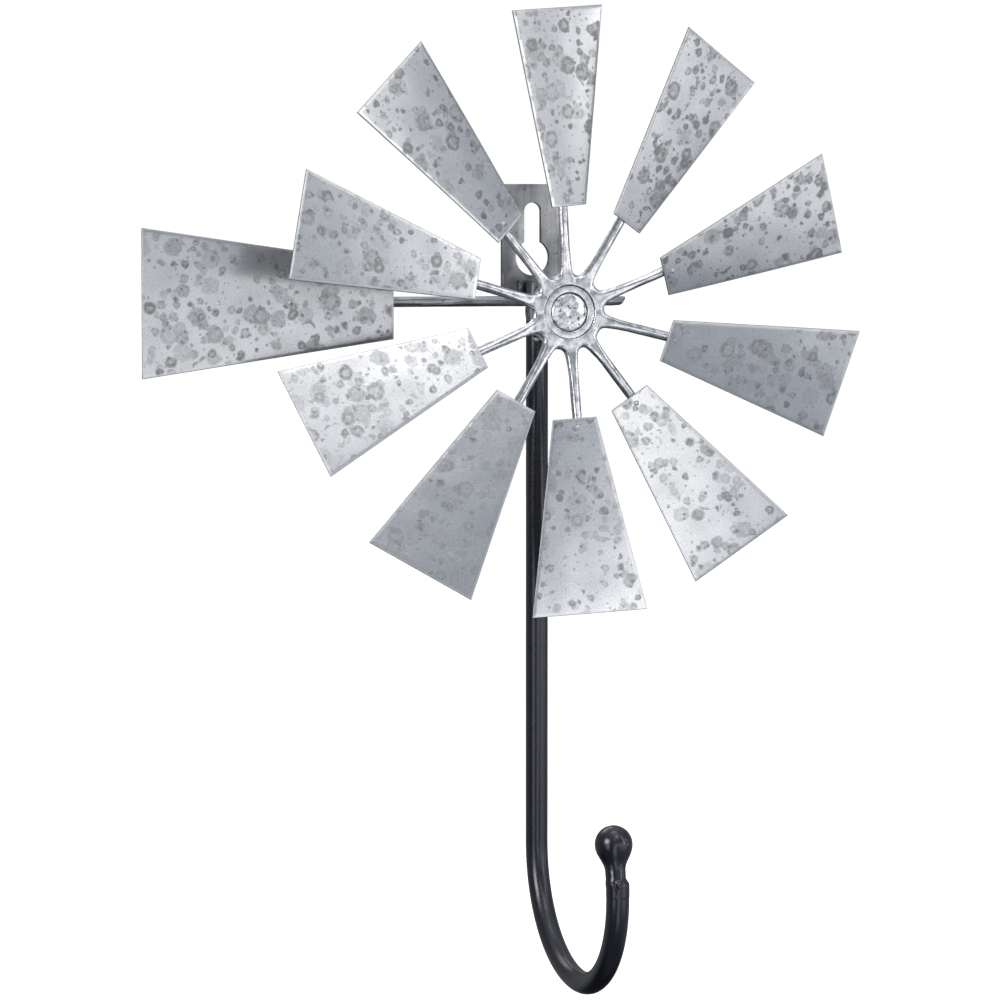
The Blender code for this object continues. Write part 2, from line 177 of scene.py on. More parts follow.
def add_world():
    """Blue-grey around, dark below and on the left, pale above; the camera itself sees white."""
    world = bpy.data.worlds.new("studio")
    bpy.context.scene.world = world
    world.use_nodes = True
    g = Graph(world.node_tree)
    direction = g.node("TexCoord").outputs["Generated"]
    x, y, z = (g.split(direction, axis) for axis in "XYZ")
    behind = g.ramp(y, 0.0, 0.5)
    above = g.ramp(z, 0.5, 0.9)
    left = g.ramp(x, -0.6, -0.3, 1.0, 0.0)
    below = g.ramp(z, -0.8, -0.5, 1.0, 0.0)
    room = g.mix_colour(g.math("MAXIMUM", left, below), (0.275, 0.305, 0.35), (0.13, 0.14, 0.17))
    room = g.mix_colour(behind, room, (0.27, 0.28, 0.3))
    low_behind = g.times(g.ramp(y, -0.1, 0.3), g.ramp(z, -0.65, -0.3, 1.0, 0.0))
    room = g.mix_colour(low_behind, room, (0.03, 0.032, 0.04))
    room = g.mix_colour(above, room, (0.6, 0.62, 0.65))
    lit = g.node("Background", Color=room)
    seen = g.node("Background", Color=WHITE, Strength=SEEN_STRENGTH)
    is_camera = g.node("LightPath").outputs["Is Camera Ray"]
    shader = g.node("MixShader", Fac=is_camera)
    g.tree.links.new(lit.outputs[0], shader.inputs[1])
    g.tree.links.new(seen.outputs[0], shader.inputs[2])
    g.output("OutputWorld", shader.outputs[0])


def add_floor():
    """A white floor well below the hook, seen by the camera but not in the metal."""
    z = CAD_BOUNDS[0][2] - FLOOR_DROP
    half = FLOOR_SIZE / 2
    corners = [(-half, -half, z), (half, -half, z), (half, half, z), (-half, half, z)]
    mesh = new_mesh("floor", corners, [(0, 1, 2, 3)])
    floor = add_object("floor", mesh)
    material = bpy.data.materials.new("pale_floor")
    material.use_nodes = True
    shader = material.node_tree.nodes["Principled BSDF"]
    for name, value in (("Base Color", (0.9, 0.9, 0.9, 1)), ("Roughness", 0.9),
                        ("Emission Color", WHITE), ("Emission Strength", 0.8)):
        shader.inputs[name].default_value = value
    mesh.materials.append(material)
    floor.visible_glossy = False
    floor.visible_diffuse = False


# ---- node graphs

class Graph:
    """Short calls for building a node tree; each returns an output socket or a node."""

    def __init__(self, tree):
        self.tree = tree
        tree.nodes.clear()

    def node(self, kind, settings=None, **inputs):
        """A shader node of a kind, with its settings and its inputs, whose names have _ for a space."""
        made = self.tree.nodes.new("ShaderNode" + kind)
        for key, value in (settings or {}).items():
            setattr(made, key, value)
        for key, value in inputs.items():
            self.feed(made.inputs[key.replace("_", " ")], value)
        return made

    def feed(self, socket, value):
        if isinstance(value, bpy.types.NodeSocket):
            self.tree.links.new(value, socket)
        else:
            if socket.type == "RGBA" and len(value) == 3:
                value = (*value, 1.0)
            socket.default_value = value

    def math(self, operation, a, b=0.0):
        made = self.node("Math", {"operation": operation})
        self.feed(made.inputs[0], a)
        self.feed(made.inputs[1], b)
        return made.outputs[0]

    def plus(self, a, b):
        return self.math("ADD", a, b)

    def minus(self, a, b):
        return self.math("SUBTRACT", a, b)

    def times(self, a, b):
        return self.math("MULTIPLY", a, b)

    def vector(self, operation, a, b=(0, 0, 0), output=0):
        made = self.node("VectorMath", {"operation": operation})
        self.feed(made.inputs[0], a)
        self.feed(made.inputs[1], b)
        return made.outputs[output]

    def scaled(self, a, factor):
        made = self.node("VectorMath", {"operation": "SCALE"})
        self.feed(made.inputs[0], a)
        self.feed(made.inputs["Scale"], factor)
        return made.outputs[0]

    def attribute(self, name, output="Fac"):
        return self.node("Attribute", {"attribute_name": name}).outputs[output]

    def split(self, vector, axis):
        return self.node("SeparateXYZ", Vector=vector).outputs[axis]

    def ramp(self, value, low, high, at_low=0.0, at_high=1.0):
        """A smooth step: at_low up to the value low, and at_high from the value high."""
        made = self.node("MapRange", {"interpolation_type": "SMOOTHSTEP"}, Value=value,
                         From_Min=low, From_Max=high, To_Min=at_low, To_Max=at_high)
        return made.outputs[0]

    def mix(self, factor, a, b):
        made = self.node("Mix", {"data_type": "FLOAT"})
        for socket, value in zip((made.inputs[0], made.inputs[2], made.inputs[3]), (factor, a, b)):
            self.feed(socket, value)
        return made.outputs[0]

    def mix_colour(self, factor, a, b, blend="MIX"):
        made = self.node("Mix", {"data_type": "RGBA", "blend_type": blend})
        for socket, value in zip((made.inputs[0], made.inputs[6], made.inputs[7]), (factor, a, b)):
            self.feed(socket, value)
        return made.outputs[2]

    def noise(self, place, size, detail=2.0, roughness=0.5):
        """Noise with features about size long, in the place's own unit, from 0 to 1."""
        made = self.node("TexNoise", Vector=place, Scale=1.0 / size, Detail=detail,
                         Roughness=roughness)
        return made.outputs["Fac"]

    def output(self, kind, shader):
        self.tree.links.new(shader, self.node(kind).inputs["Surface"])


def new_material(name):
    material = bpy.data.materials.new(name)
    material.use_nodes = True
    return material, Graph(material.node_tree)


def place_mm(g):
    """A piece's own coordinates in mm: its object sits at the world's origin."""
    return g.scaled(g.node("TexCoord").outputs["Object"], 1.0 / MM)


def finish_surface(g, colour, roughness, height, relief, metallic=1.0, **gloss):
    """A principled surface, metal by default; height is in mm and relief is how strongly it shows."""
    shader = g.node("BsdfPrincipled", Base_Color=colour, Roughness=roughness, Metallic=metallic, **gloss)
    bump = g.node("Bump", Height=height, Distance=MM, Strength=relief)
    g.tree.links.new(bump.outputs[0], shader.inputs["Normal"])
    g.output("OutputMaterial", shader.outputs[0])


# ---- materials

# Stains on the sheet, in mm: cell size, turn or turns in degrees, smallest and largest radius, softness
LARGE_STAINS = (9.6, (0, 22, 45, 67), (0.9, 2.7), 0.4)
SMALL_STAINS = (5.2, (12, 38, 74), (0.5, 1.35), 0.26)
DOTS = (2.0, 75, (0.15, 0.45), 0.14)
CHIPS = (8.5, 83, (0.35, 1.0), 0.16)
DOT_SHARE = 0.42
CHIP_SHARE = 0.09


def stain_layer(g, place, cell, turn, radii, softness, share, ragged):
    """Round stains scattered one to a cell: how much stain there is, and its dark crescent."""
    turned_place = g.node("VectorRotate", {"rotation_type": "Z_AXIS"}, Vector=place,
                          Angle=math.radians(turn)).outputs[0]
    shifted = g.vector("ADD", turned_place, (1.7 * turn, 0.9 * turn, 0))
    cells = g.node("TexVoronoi", {"voronoi_dimensions": "2D"}, Vector=shifted,
                   Scale=1.0 / cell, Randomness=0.5)
    chance = g.node("SeparateColor", Color=cells.outputs["Color"])
    radius = g.ramp(chance.outputs["Red"], 0.0, 1.0, radii[0], radii[1])
    distance = g.plus(g.times(cells.outputs["Distance"], cell), ragged)
    depth = g.minus(radius, distance)
    present = g.math("LESS_THAN", chance.outputs["Green"], share)
    strength = g.times(present, g.ramp(chance.outputs["Blue"], 0.0, 1.0, 0.45, 1.0))
    inside = g.times(g.ramp(depth, -softness, softness), strength)
    centre = g.scaled(cells.outputs["Position"], cell)
    away = g.vector("NORMALIZE", g.vector("SUBTRACT", shifted, centre))
    leaning = g.vector("NORMALIZE", g.vector("SUBTRACT", cells.outputs["Color"], (0.5, 0.5, 0.5)))
    side = g.ramp(g.vector("DOT_PRODUCT", away, leaning, output=1), -0.3, 0.8, 0.1, 1.0)
    off_rim = g.math("ABSOLUTE", g.minus(depth, 1.4 * softness))
    band = g.ramp(off_rim, 0.0, 2.4 * softness, 1.0, 0.0)
    crescent = g.times(g.times(band, side), strength)
    return inside, crescent


def galvanised(name, clear_colour, clear_roughness):
    """Galvanised sheet: bright metal with round grey stains, small dots and a few dark chips."""
    material, g = new_material(name)
    flat = g.attribute("sheet_place", "Vector")
    look = g.attribute("sheet_look", "Vector")
    tone, stain_strength, edge = (g.split(look, axis) for axis in "XYZ")

    wobble = g.node("TexNoise", Vector=flat, Scale=0.4, Detail=1.0)
    shift = g.scaled(g.vector("SUBTRACT", wobble.outputs["Color"], (0.5, 0.5, 0.5)), 1.6)
    place = g.vector("ADD", flat, shift)
    crowd = g.ramp(g.noise(flat, 15.0), 0.38, 0.6, 0.16, 0.95)
    sparse = g.times(crowd, 0.85)
    ragged = g.times(g.minus(g.noise(flat, 1.5, detail=3.0, roughness=0.6), 0.5), 0.9)
    frayed = g.times(ragged, 0.5)

    layers = []
    for (cell, turns, radii, softness), outline in ((LARGE_STAINS, ragged), (SMALL_STAINS, frayed)):
        for turn in turns:
            layers.append(stain_layer(g, place, cell, turn, radii, softness, sparse, outline))
    dots, _ = stain_layer(g, flat, *DOTS, DOT_SHARE, 0.0)
    chips, _ = stain_layer(g, place, *CHIPS, CHIP_SHARE, ragged)
    stain, crescent = layers[0]
    for more_stain, more_crescent in layers[1:]:
        stain = g.math("MAXIMUM", stain, more_stain)
        crescent = g.math("MAXIMUM", crescent, more_crescent)
    blotch = g.ramp(g.noise(flat, 1.1, detail=4.0, roughness=0.65), 0.3, 0.7, 0.55, 1.25)
    stain = g.times(stain, blotch)
    crescent = g.times(crescent, blotch)
    cloud = g.ramp(g.noise(flat, 9.0, detail=4.0), 0.35, 0.75)
    grain = g.ramp(g.noise(flat, 0.45, detail=3.0, roughness=0.7), 0.3, 0.7, 0.9, 1.09)

    shade = g.times(stain, 0.26)
    for mark, depth in ((crescent, 0.3), (dots, 0.26), (chips, 0.45)):
        shade = g.plus(shade, g.times(mark, depth))
    shade = g.plus(g.times(shade, stain_strength), g.times(cloud, 0.07))
    shade = g.math("MINIMUM", shade, 0.6)
    value = g.times(g.minus(1.0, shade), grain)
    value = g.times(g.mix(edge, value, 1.05), g.ramp(edge, 0.78, 0.95, 1.0, 0.5))
    # Each sheet's brightness: partly its own tone, partly painted light for how the lamps fall on it
    value = g.times(value, tone)
    grey = g.node("CombineColor", Red=value, Green=value, Blue=value).outputs[0]
    colour = g.mix_colour(1.0, clear_colour, grey, "MULTIPLY")
    dull = g.math("MAXIMUM", g.math("MAXIMUM", stain, dots), g.times(cloud, 0.3))
    roughness = g.plus(g.mix(dull, clear_roughness, clear_roughness + 0.09), g.times(edge, 0.1))
    height = g.plus(g.times(stain, -0.01), g.times(grain, 0.015))
    finish_surface(g, colour, roughness, height, 0.5)
    return material


def cast_zinc():
    """Bright zinc-coated casting with painted shade darkening its hollows, and streaks that run out
    along the spokes.
    """
    material, g = new_material("cast_zinc")
    place = place_mm(g)
    painted_shade = g.attribute("painted_shade")
    from_axis = g.vector("SUBTRACT", place, tuple(AXIS_POINT / MM))
    spread = g.node("VectorRotate", {"rotation_type": "Y_AXIS"}, Vector=from_axis,
                    Angle=math.radians(14)).outputs[0]
    angle = g.math("ARCTAN2", g.split(spread, "X"), g.split(spread, "Z"))
    reach = g.vector("LENGTH", from_axis, output=1)
    radial = g.node("CombineXYZ", X=g.times(reach, 0.14), Y=g.times(angle, 22.0),
                    Z=g.split(place, "Y")).outputs[0]
    on_spokes = g.ramp(reach, 9.0, 15.0)
    streak = g.mix(on_spokes, 0.5, g.noise(radial, 1.1, detail=2.0))
    mottle = g.noise(place, 1.9, detail=3.0)
    tone = g.plus(g.times(streak, 0.55), g.times(mottle, 0.45))
    bright = g.ramp(tone, 0.4, 0.58)
    colour = g.mix_colour(bright, (0.5, 0.51, 0.54), (0.92, 0.92, 0.93))
    # Painted shade: darker where the surface lies in a hollow
    colour = g.mix_colour(g.ramp(painted_shade, 0.1, 0.45, 0.0, 0.85), colour, (0.1, 0.1, 0.11))
    roughness = g.minus(g.ramp(g.noise(place, 1.6), 0.3, 0.7, 0.24, 0.34), g.times(on_spokes, 0.07))
    height = g.plus(g.times(streak, 0.04), g.times(g.noise(place, 2.2), 0.04))
    finish_surface(g, colour, roughness, height, 0.5)
    return material


def hammered_zinc():
    """The riveted-over pin head: shiny swells and a few dark pits."""
    material, g = new_material("hammered_zinc")
    place = place_mm(g)
    swell = g.noise(place, 2.4, detail=2.0)
    pit = g.ramp(g.noise(place, 1.3, detail=2.0), 0.33, 0.41, 1.0, 0.0)
    bright = g.ramp(swell, 0.36, 0.55)
    colour = g.mix_colour(bright, (0.58, 0.58, 0.6), (0.88, 0.88, 0.88))
    colour = g.mix_colour(pit, colour, (0.13, 0.13, 0.14))
    height = g.minus(g.times(swell, 0.22), g.times(pit, 0.06))
    finish_surface(g, colour, g.ramp(swell, 0.3, 0.6, 0.42, 0.28), height, 0.6)
    return material


def weld_metal(name, dip, crest):
    """Weld beads: rippled, bright on the crests and sooty in the dips."""
    material, g = new_material(name)
    place = place_mm(g)
    ripple = g.noise(place, 0.9, detail=4.0, roughness=0.7)
    colour = g.mix_colour(g.ramp(ripple, 0.4, 0.6), dip, crest)
    # Painted shade where a piece stores it: the nuggets' craters are darkened on one side
    painted_shade = g.attribute("painted_shade")
    colour = g.mix_colour(painted_shade, colour, (0.05, 0.05, 0.055))
    finish_surface(g, colour, g.ramp(ripple, 0.3, 0.7, 0.5, 0.28), g.times(ripple, 0.4), 0.7)
    return material


def bare_steel(name, dark, light, streak_axis, streak_strength):
    """Dull drawn bar or plate: grey, streaked along an axis, with dark spots and soot by the welds."""
    material, g = new_material(name)
    place = place_mm(g)
    squeezed = [0.06 if axis == streak_axis else 1.0 for axis in "XYZ"]
    streak = g.noise(g.vector("MULTIPLY", place, squeezed), 0.9, detail=3.0, roughness=0.6)
    cloud = g.noise(place, 7.0, detail=3.0)
    tone = g.mix_colour(g.ramp(cloud, 0.35, 0.65), dark, light)
    sooty = tuple(0.25 * c for c in dark)
    tone = g.mix_colour(g.ramp(streak, 0.36, 0.52, streak_strength, 0.0), tone, sooty)
    spots = g.ramp(g.noise(place, 1.7, detail=3.0), 0.6, 0.7, 0.0, 0.6)
    # Side walls darkened: partly the dark cut steel of the edges, partly painted shade on the walls
    cut_edge_and_shade = g.ramp(g.attribute("cut_edge_and_shade"), 0.3, 0.9, 0.0, 0.85)
    soot = g.times(g.attribute("soot"), g.ramp(g.noise(place, 2.5, detail=3.0), 0.3, 0.6, 0.6, 1.0))
    marks = g.math("MAXIMUM", spots, g.math("MAXIMUM", cut_edge_and_shade, soot))
    colour = g.mix_colour(marks, tone, sooty)
    roughness = g.ramp(streak, 0.3, 0.7, 0.3, 0.42)
    finish_surface(g, colour, roughness, g.times(streak, 0.06), 0.5)
    return material


def black_paint(name, bare_above, smoothest):
    """Black paint with a faint orange peel; above the height bare_above, in mm, the zinc is bare."""
    material, g = new_material(name)
    place = place_mm(g)
    peel = g.noise(place, 1.6, detail=2.0)
    dust = g.ramp(g.noise(place, 0.35, detail=1.0), 0.72, 0.8)
    paint = g.mix_colour(g.times(dust, 0.15), (0.0035, 0.0038, 0.0055), (0.05, 0.05, 0.055))
    mottle = g.ramp(g.noise(place, 1.6, detail=4.0, roughness=0.65), 0.38, 0.62)
    zinc = g.mix_colour(mottle, (0.035, 0.035, 0.04), (0.3, 0.3, 0.31))
    ragged = g.plus(g.split(place, "Z"), g.times(g.noise(place, 2.0), 3.0))
    bare = g.ramp(ragged, bare_above + 1.2, bare_above + 1.8)
    sooty = g.ramp(ragged, bare_above + 11.0, bare_above + 14.0, 0.0, 0.9)
    zinc = g.mix_colour(sooty, zinc, (0.2, 0.2, 0.21))
    colour = g.mix_colour(bare, paint, zinc)
    roughness = g.mix(bare, g.ramp(peel, 0.3, 0.7, smoothest, smoothest + 0.06), 0.36)
    finish_surface(g, colour, roughness, g.times(peel, 0.06), 0.15, metallic=bare,
                   Specular_IOR_Level=0.9, Specular_Tint=(0.885, 0.895, 1.0))
    return material


# ---- pieces

def add_piece(name, mesh, body, material, replaces, sharp_angle=35.0):
    """Put a finished mesh in the scene in place of its CAD node and let it ride on a body."""
    mesh.materials.append(material)
    mesh.shade_smooth()
    mesh.set_sharp_from_angle(angle=math.radians(sharp_angle))
    piece = add_object(name, mesh)
    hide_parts(*replaces)
    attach(piece, body)


def rows_of_three(values, key):
    rows = np.empty(3 * len(values))
    values.foreach_get(key, rows)
    return rows.reshape(-1, 3)


def node_points(node):
    return rows_of_three(frame["nodes"][node].data.vertices, "co")


def box_mm(node):
    """The two corners of a CAD node's box, in mm."""
    return [np.array(corner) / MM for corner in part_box(node)]


def box_centre(node):
    low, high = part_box(node)
    return (Vector(low) + Vector(high)) / 2


def store(mesh, name, kind, values):
    """Write one value for each vertex into a named attribute."""
    attribute = mesh.attributes.new(name, kind, "POINT")
    key = "vector" if kind == "FLOAT_VECTOR" else "value"
    attribute.data.foreach_set(key, np.array(values, dtype=np.float32).ravel())


def vertex_normals(mesh):
    return rows_of_three(mesh.vertex_normals, "vector")


def vertex_places(mesh):
    """A mesh's points, in mm."""
    return rows_of_three(mesh.vertices, "co") / MM


def panel_corners(node, outward):
    """A flat panel's back corners (inner left, right, outer left, right), normal and thickness."""
    mesh = frame["nodes"][node].data
    normal = Vector()
    for face in mesh.polygons:
        if face.normal.dot(FRONT) > 0.5:
            normal += face.normal * face.area
    normal.normalize()
    along = (outward - normal * outward.dot(normal)).normalized()
    across = along.cross(normal)
    points = node_points(node)
    depth = points @ np.array(normal)
    back = points[depth < depth.min() + 0.05 * MM]
    corners = []
    for end in (-1, 1):
        for side in (-1, 1):
            score = back @ np.array(end * along + 0.5 * side * across)
            corners.append(Vector(back[score.argmax()]))
    return corners, normal, depth.max() - depth.min()


def edge_steps(length, count):
    """Places from 0 to length, close together in the rims and even between them."""
    middle = np.linspace(PAST_RIM, length - PAST_RIM, count - 2 * len(RIM_STEPS))
    return np.concatenate([RIM_STEPS, middle, length - np.array(RIM_STEPS[::-1])])


def rim_height(inset):
    """How far the front face drops back, in mm, at a distance from the nearest edge."""
    slope = np.clip(inset / RIM_WIDTH, 0, 1)
    corner = np.clip(inset / EDGE_ROUND, 0, 1)
    rim_drop = RIM_DROP * (1 - slope * slope * (3 - 2 * slope))
    return rim_drop + EDGE_DROP * (1 - np.sqrt(corner * (2 - corner)))


def sheet_piece(node, outward, number, bend_angles, look, material, body):
    """A cut sheet panel with soft rims, bent slightly out of flat, in place of a CAD panel."""
    cup, bow = bend_angles
    corners, normal, thickness = panel_corners(node, outward)
    inner_left, inner_right, outer_left, outer_right = corners
    length = ((outer_left + outer_right) / 2 - (inner_left + inner_right) / 2).length / MM
    thick = thickness / MM
    rows = edge_steps(length, PANEL_ROWS)
    front, back, places, edges = [], [], [], []
    for along in rows:
        left = inner_left.lerp(outer_left, along / length)
        right = inner_right.lerp(outer_right, along / length)
        width = (right - left).length / MM
        from_middle = along - length / 2
        for across in edge_steps(width, PANEL_COLUMNS):
            inset = min(across, width - across, along, length - along)
            x = across - width / 2
            bend = -math.radians(cup) * x * x / width - math.radians(bow) * from_middle ** 2 / length
            spot = Vector((x / WAVE_LENGTH, along / WAVE_LENGTH, WAVE_SHIFT * number))
            wave = WAVE_HEIGHT * noise.noise(spot)
            flat = left.lerp(right, across / width)
            lift = thick - rim_height(inset) + bend + wave
            front.append(flat + normal * (lift * MM))
            back_round = EDGE_DROP * max(0.0, 1 - inset / EDGE_ROUND)
            back.append(flat + normal * ((back_round + bend + wave) * MM))
            places.append((x + STAIN_SHIFT[0] * number, along + STAIN_SHIFT[1] * number, 0.0))
            edges.append((*look, max(0.0, 1 - inset / RIM_WIDTH)))
    grid = np.arange(len(front)).reshape(PANEL_ROWS, PANEL_COLUMNS)
    count = len(front)
    faces = []
    for near, far in zip(grid.tolist(), grid[1:].tolist()):
        for a, a_next, b, b_next in zip(near, near[1:], far, far[1:]):
            faces.append((a, b, b_next, a_next))
            faces.append((a + count, a_next + count, b_next + count, b + count))
    border = [*grid[0], *grid[1:, -1], *grid[-1, -2::-1], *grid[-2:0:-1, 0]]
    border = [int(i) for i in border]
    for a, b in zip(border, border[1:] + border[:1]):
        faces.append((a, b, b + count, a + count))
    mesh = new_mesh(node + "_sheet", [v[:] for v in front + back], faces)
    back_places = [(x, y + BACK_STAIN_SHIFT, 0.0) for x, y, _ in places]
    store(mesh, "sheet_place", "FLOAT_VECTOR", places + back_places)
    store(mesh, "sheet_look", "FLOAT_VECTOR", edges + edges)
    add_piece(node + "_sheet", mesh, body, material, (node,), sharp_angle=60.0)


def add_sheets(sheet_metal):
    bends = zip(BLADE_CUP, BLADE_BOW)
    looks = zip(BLADE_TONE_AND_LIGHT, BLADE_STAIN)
    for number, bend, look in zip(range(1, BLADES + 1), bends, looks):
        node = f"blade_{number:02d}"
        outward = box_centre(node) - AXIS_POINT
        sheet_piece(node, outward, number, bend, look, sheet_metal, WHEEL_BODY)
    sheet_piece("tail_vane", VANE_OUTWARD, BLADES + 1, (VANE_CUP, VANE_BOW), (VANE_TONE_AND_LIGHT, VANE_STAIN),
                sheet_metal, FRAME_BODY)


# ---- surfaces from distance fields

def surface_net(name, field, low, high, step):
    """A quad mesh on the zero level of a distance field; all in mm, and the mesh in metres."""
    low, high = np.array(low, float), np.array(high, float)
    counts = np.ceil((high - low) / step).astype(int) + 1
    axes = [low[i] + step * np.arange(counts[i]) for i in range(3)]
    points = np.stack(np.meshgrid(*axes, indexing="ij"), axis=-1).reshape(-1, 3)
    inside = (field(points) < 0).reshape(counts)
    total = np.zeros(counts - 1, int)
    for i, j, k in np.ndindex(2, 2, 2):
        total += inside[i:counts[0] - 1 + i, j:counts[1] - 1 + j, k:counts[2] - 1 + k]
    crossed = (total > 0) & (total < 8)
    index = np.full(counts - 1, -1)
    index[crossed] = np.arange(crossed.sum())
    vertices = low + step * (np.argwhere(crossed) + 0.5)
    quads = []
    for axis in range(3):
        near = [slice(None)] * 3
        far = [slice(None)] * 3
        near[axis], far[axis] = slice(0, -1), slice(1, None)
        here, there = inside[tuple(near)], inside[tuple(far)]
        for leaving in (True, False):
            start = np.argwhere(here & ~there if leaving else there & ~here)
            side_a, side_b = np.eye(3, dtype=int)[(axis + 1) % 3], np.eye(3, dtype=int)[(axis + 2) % 3]
            ring = [start, start - side_a, start - side_a - side_b, start - side_b]
            ring = ring if leaving else ring[::-1]
            quads.append(np.stack([index[tuple(cell.T)] for cell in ring], axis=-1))
    vertices = settle(field, vertices, step)
    return new_mesh(name, (vertices * MM).tolist(), np.concatenate(quads).tolist())


def settle(field, points, step):
    """Move points onto a field's zero level along its slope."""
    probe = 0.1 * step
    for _ in range(4):
        value = field(points)
        slope = np.stack([field(points + probe * side) - value for side in np.eye(3)], axis=-1) / probe
        steepness = np.maximum((slope ** 2).sum(axis=-1), 0.2)
        move = np.clip(value / steepness, -step, step)
        points = points - move[:, None] * slope
    return points


def blend_union(a, b, radius):
    """Union of two fields with a fillet."""
    h = np.clip(0.5 + 0.5 * (b - a) / radius, 0, 1)
    return b + (a - b) * h - radius * h * (1 - h)


def blend_common(a, b, radius):
    """The part that two fields share, with a rounded edge."""
    return -blend_union(-a, -b, radius)


def lumps(points, size, seed, waves=9):
    """A smooth uneven field of about unit height, made of plane waves."""
    rng = np.random.default_rng(seed)
    total = np.zeros(len(points))
    for _ in range(waves):
        direction = rng.normal(size=3)
        direction *= math.tau / (size * rng.uniform(0.7, 1.6)) / np.linalg.norm(direction)
        total += np.sin(points @ direction + rng.uniform(0, math.tau))
    return total / math.sqrt(waves)


# Hub casting, in mm from the point where the spokes meet; y grows towards the wall
SEAT_RADIUS = 7.75
SEAT_DEPTH = 2.2
BORE_RADIUS = 4.9
WEB_FACE = -1.1
WEB_BACK = 3.3
WEB_CREST_RADIUS = 10.0
WEB_RADIUS = 10.9
WEB_EDGE_DEPTH = -0.4
FLUSH_RADIUS = 11.5  # up to here the spokes' fronts are level with the web
BARREL_RADIUS = 7.0
BARREL_BACK = 12.0
SPOKE_RADIUS = 1.4
# Distance from the axis, half width, and depth of the back
SPOKE_SECTIONS = ((7.5, 2.6, 3.2), (10.5, 2.25, 3.1), (12.5, 1.8, 2.4), (15.5, 1.5, 1.7),
                  (18.5, 1.4, 1.4))
CASTING_FILLET = 1.1
CASTING_STEP = 0.3
SPOKE_REACH = 43.5


def spoke_frames():
    """Each spoke's along, across and depth directions and its length, from the CAD casting's tips."""
    points = (node_points("hub_spider") - np.array(AXIS_POINT)) / MM
    reach = np.hypot(points[:, 0], points[:, 2])
    tips = points[reach > reach.max() - 2.0]
    frames = []
    for number in range(BLADES):
        angle = math.tau * number / BLADES + math.radians(-4.0)
        toward = np.array([math.sin(angle), 0, math.cos(angle)])
        near = tips[tips @ toward > 0.9 * reach.max()]
        end = near.mean(axis=0)
        along = end / np.linalg.norm(end)
        across = np.cross([0, 1, 0], along)
        across /= np.linalg.norm(across)
        frames.append((along, across, np.cross(along, across), np.linalg.norm(end)))
    return frames


def spoke_field(points, spoke):
    """Distance to one spoke: oval and deep at the root, round further out."""
    along, across, depth, end = spoke
    w, x, y = points @ along, points @ across, points @ depth
    distances, widths, backs = zip(*SPOKE_SECTIONS)
    half_width = np.interp(w, distances, widths)
    back = np.interp(w, distances, backs)
    half_depth = (back + SPOKE_RADIUS) / 2
    y = y - (back - SPOKE_RADIUS) / 2
    oval = np.sqrt((x / half_width) ** 2 + (y / half_depth) ** 2) + 1e-6
    slope = np.sqrt((x / half_width ** 2) ** 2 + (y / half_depth ** 2) ** 2) + 1e-6
    side = oval * (oval - 1) / slope
    return np.maximum(side, np.maximum(w - end, SPOKE_SECTIONS[0][0] - w))


def casting_field(points, spokes):
    """The cast spider: a web with a sloping rim round the bush's seat, a barrel behind, the spokes."""
    r = np.hypot(points[:, 0], points[:, 2])
    y = points[:, 1]
    run, rise = WEB_RADIUS - WEB_CREST_RADIUS, WEB_EDGE_DEPTH - WEB_FACE
    slant = ((r - WEB_CREST_RADIUS) * rise - (y - WEB_FACE) * run) / math.hypot(run, rise)
    faces = blend_common(WEB_FACE - y, slant, 0.5)
    web = blend_common(faces, blend_common(y - WEB_BACK, r - WEB_RADIUS, 0.4), 0.4)
    barrel = np.maximum(r - BARREL_RADIUS, np.maximum(y - BARREL_BACK, WEB_BACK - 1.0 - y))
    solid = blend_union(web, barrel, 0.5)
    for spoke in spokes:
        solid = blend_union(solid, spoke_field(points, spoke), CASTING_FILLET)
    front = WEB_FACE - 0.08 - 0.12 * np.maximum(r - FLUSH_RADIUS, 0)
    solid = blend_common(solid, front - y, 0.45)
    solid = solid - 0.03 * lumps(points, 4.8, seed=3) - 0.005 * lumps(points, 1.8, seed=4)
    seat = np.maximum(r - SEAT_RADIUS, y - SEAT_DEPTH)
    hollow = np.minimum(seat, r - BORE_RADIUS)
    return blend_common(solid, -hollow, 0.2)


def store_painted_shade(mesh, field, reach):
    """Store how hollow the surface is at each vertex, for the painted shade in the hollows: how much is
    not open space at reach, in mm.
    """
    outside = vertex_places(mesh) + reach * vertex_normals(mesh)
    store(mesh, "painted_shade", "FLOAT", np.clip(1 - field(outside) / reach, 0, 1))


def add_casting(metal):
    spokes = spoke_frames()
    reach = SPOKE_REACH + 1.0

    def field(points):
        return casting_field(points, spokes)

    mesh = surface_net("hub_casting", field, (-reach, -4.2, -reach), (reach, BARREL_BACK + 0.6, reach),
                       CASTING_STEP)
    store_painted_shade(mesh, field, 1.1)
    mesh.transform(Matrix.Translation(AXIS_POINT))
    add_piece("hub_casting", mesh, WHEEL_BODY, metal, ("hub_spider",), sharp_angle=180.0)


# ---- turned pieces

TURNED_SIDES = 96


def soften(profile, radius, closed=True):
    """Round a profile's corners with short arcs; an open profile keeps its two ends."""
    rounded = []
    for i, (r, y) in enumerate(profile):
        corner = Vector((r, y))
        if not closed and i in (0, len(profile) - 1):
            rounded.append((r, y))
            continue
        before = Vector(profile[i - 1]) - corner
        after = Vector(profile[(i + 1) % len(profile)]) - corner
        reach = min(radius, 0.45 * before.length, 0.45 * after.length)
        start, end = corner + before.normalized() * reach, corner + after.normalized() * reach
        for share in (0.0, 0.33, 0.67, 1.0):
            point = start.lerp(corner, share).lerp(corner.lerp(end, share), share)
            rounded.append((point.x, point.y))
    return rounded


def ring_faces(rings, sides, closed=False):
    """Quads between one ring of points and the next; closed joins the last ring to the first."""
    faces = []
    for i in range(rings if closed else rings - 1):
        near, far = i * sides, (i + 1) % rings * sides
        for j in range(sides):
            k = (j + 1) % sides
            faces.append((near + j, near + k, far + k, far + j))
    return faces


